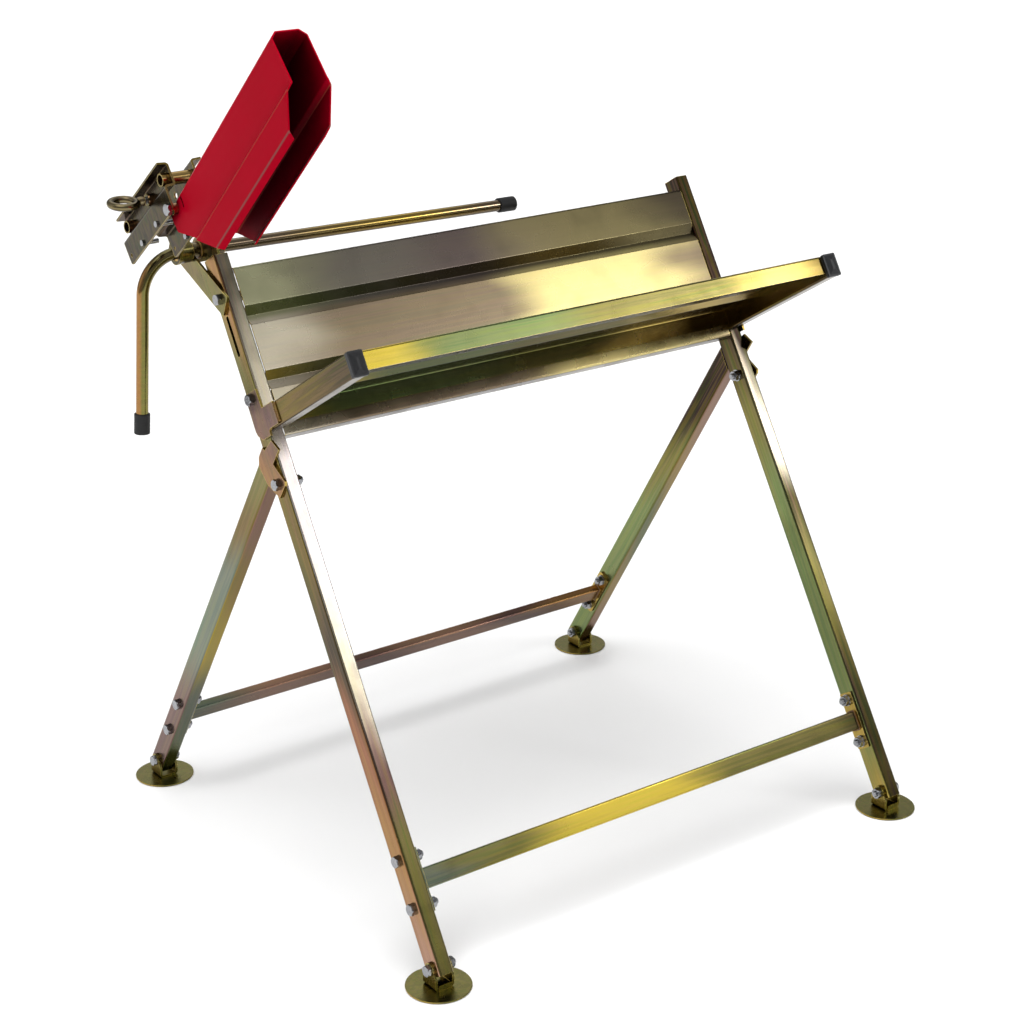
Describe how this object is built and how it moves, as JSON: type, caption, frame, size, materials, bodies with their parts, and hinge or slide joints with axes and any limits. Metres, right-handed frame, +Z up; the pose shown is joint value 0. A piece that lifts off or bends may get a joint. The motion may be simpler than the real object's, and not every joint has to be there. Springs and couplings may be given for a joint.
{
  "type": "folding sawhorse",
  "caption": "Folding steel sawhorse with a V-shaped log tray, swivel feet, sliding length stop and a swinging chainsaw bar clamp under a red guard.",
  "frame": {"origin": "on the floor, under the middle of the whole object's bounding box", "axes": "+X along the tray to its right end, -Y the front where the folding tray arms are, +Z up"},
  "size_m": [0.936, 0.7502, 1.1135],
  "materials": {
    "yellow_zinc": "glossy iridescent yellow zinc passivation",
    "bright_zinc": "bright zinc plated",
    "red_powder_coat": "satin red powder coat",
    "black_plastic": "satin moulded plastic",
    "black_rubber": "matt rubber"
  },
  "bodies": {
    "main_frame": {"front_leg_left": "yellow_zinc", "front_leg_right": "yellow_zinc", "rear_tray_panel": "yellow_zinc", "front_crossbar": "yellow_zinc", "front_crossbar_plate_left": "yellow_zinc", "front_crossbar_plate_right": "yellow_zinc", "front_crossbar_bolts": "bright_zinc", "front_crossbar_nuts": "bright_zinc", "pivot_bolts": "bright_zinc", "pivot_nuts": "bright_zinc", "foot_bolts_front": "bright_zinc", "foot_nuts_front": "bright_zinc", "brace_bar": "yellow_zinc", "guide_plate": "yellow_zinc", "stop_sleeve": "yellow_zinc"},
    "rear_leg_frame": {"rear_leg_left": "yellow_zinc", "rear_leg_right": "yellow_zinc", "rear_lug_left": "yellow_zinc", "rear_lug_right": "yellow_zinc", "rear_crossbar": "yellow_zinc", "rear_crossbar_plate_left": "yellow_zinc", "rear_crossbar_plate_right": "yellow_zinc", "rear_crossbar_bolts": "bright_zinc", "rear_crossbar_nuts": "bright_zinc", "foot_bolts_rear": "bright_zinc", "foot_nuts_rear": "bright_zinc"},
    "front_arm_frame": {"front_arm_left": "yellow_zinc", "front_arm_right": "yellow_zinc", "arm_plug_left": "black_plastic", "arm_plug_right": "black_plastic", "arm_lug_left": "yellow_zinc", "arm_lug_right": "yellow_zinc", "front_tray_panel": "yellow_zinc"},
    "foot_front_left": {"foot_bracket_front_left": "yellow_zinc", "foot_disc_front_left": "yellow_zinc"},
    "foot_front_right": {"foot_bracket_front_right": "yellow_zinc", "foot_disc_front_right": "yellow_zinc"},
    "foot_rear_left": {"foot_bracket_rear_left": "yellow_zinc", "foot_disc_rear_left": "yellow_zinc"},
    "foot_rear_right": {"foot_bracket_rear_right": "yellow_zinc", "foot_disc_rear_right": "yellow_zinc"},
    "stop_end": {"stop_end_cap": "black_rubber"},
    "length_stop": {"stop_rod": "yellow_zinc", "stop_leg_cap": "black_rubber"},
    "saw_holder": {"clamp_plate_outer": "yellow_zinc", "clamp_plate_inner": "yellow_zinc", "clamp_tube_lower": "yellow_zinc", "clamp_tube_upper": "yellow_zinc", "pivot_link": "yellow_zinc", "pivot_collar": "yellow_zinc", "clamp_screws": "bright_zinc", "guard_bolt": "bright_zinc", "guard_nut": "bright_zinc", "guard_spacers": "yellow_zinc", "eye_nut": "yellow_zinc"},
    "guard": {"saw_guard": "red_powder_coat", "guard_washers": "yellow_zinc"},
    "clamp_pad": {"clamp_pad": "yellow_zinc"},
    "clamp_screw": {"eye_bolt": "yellow_zinc"}
  },
  "joints": [
    {"name": "rear_leg_fold", "type": "hinge", "parent": "main_frame", "child": "rear_leg_frame", "pos_m": [0.058, -0.02274, 0.53811], "axis": [-1, 0, 0], "range_deg": [0, 54]},
    {"name": "front_arm_fold", "type": "hinge", "parent": "main_frame", "child": "front_arm_frame", "pos_m": [0.058, 0.03383, 0.63105], "axis": [-1, 0, 0], "range_deg": [0, 90]},
    {"name": "foot_tilt_front_left", "type": "hinge", "parent": "main_frame", "child": "foot_front_left", "pos_m": [-0.312, -0.33508, 0.025], "axis": [1, 0, 0], "range_deg": [-55, 55]},
    {"name": "foot_tilt_front_right", "type": "hinge", "parent": "main_frame", "child": "foot_front_right", "pos_m": [0.428, -0.33508, 0.025], "axis": [1, 0, 0], "range_deg": [-55, 55]},
    {"name": "foot_tilt_rear_left", "type": "hinge", "parent": "rear_leg_frame", "child": "foot_rear_left", "pos_m": [-0.312, 0.33508, 0.025], "axis": [1, 0, 0], "range_deg": [-55, 55]},
    {"name": "foot_tilt_rear_right", "type": "hinge", "parent": "rear_leg_frame", "child": "foot_rear_right", "pos_m": [0.428, 0.33508, 0.025], "axis": [1, 0, 0], "range_deg": [-55, 55]},
    {"name": "stop_slide", "type": "slide", "parent": "main_frame", "child": "stop_end", "axis": [0.9998, 0, -0.0175], "range_m": [-0.4, 0]},
    {"name": "stop_swing", "type": "hinge", "parent": "stop_end", "child": "length_stop", "pos_m": [-0.336, 0.16972, 0.7899], "axis": [0.9998, 0, -0.0175], "range_deg": [-35, 60]},
    {"name": "saw_swing", "type": "hinge", "parent": "main_frame", "child": "saw_holder", "pos_m": [-0.336, 0.16972, 0.7899], "axis": [1, 0, 0], "range_deg": [0, 45]},
    {"name": "guard_lift", "type": "hinge", "parent": "saw_holder", "child": "guard", "pos_m": [0.058, 0.03102, 0.88214], "axis": [-1, 0, 0], "range_deg": [0, 35]},
    {"name": "pad_travel", "type": "slide", "parent": "saw_holder", "child": "clamp_pad", "axis": [1, 0, 0], "range_m": [0, 0.004]},
    {"name": "eye_bolt_turn", "type": "hinge", "parent": "clamp_pad", "child": "clamp_screw", "pos_m": [-0.422, 0.09957, 0.87939], "axis": [1, 0, 0], "range_deg": [0, 1152]}
  ],
  "couplings": [
    {"joint": "eye_bolt_turn", "follows": "pad_travel", "rad_per_m": 5026.5}
  ]
}
